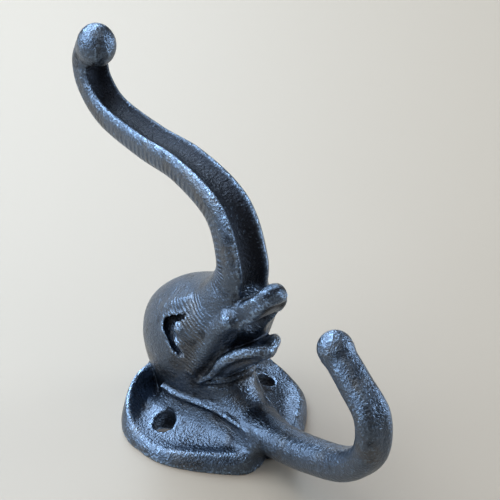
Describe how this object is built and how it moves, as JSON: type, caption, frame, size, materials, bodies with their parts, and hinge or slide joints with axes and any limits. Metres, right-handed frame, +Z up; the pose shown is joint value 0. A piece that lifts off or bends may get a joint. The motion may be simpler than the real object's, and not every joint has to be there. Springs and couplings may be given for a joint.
{
  "type": "coat hook",
  "caption": "Cast-iron elephant-head coat hook: ears form the screwed back plate, a raised trunk is the upper prong and a J-shaped lower hook curls out below the jaw.",
  "frame": {"origin": "back face, midway between the two screw holes", "axes": "+Z up the wall, +Y into the wall, +X to the right seen from the room"},
  "size_m": [0.053, 0.0969, 0.1345],
  "materials": {
    "cast_iron": "as cast, dark, lightly worn"
  },
  "bodies": {
    "root": {"hook_casting": "cast_iron"}
  },
  "joints": []
}
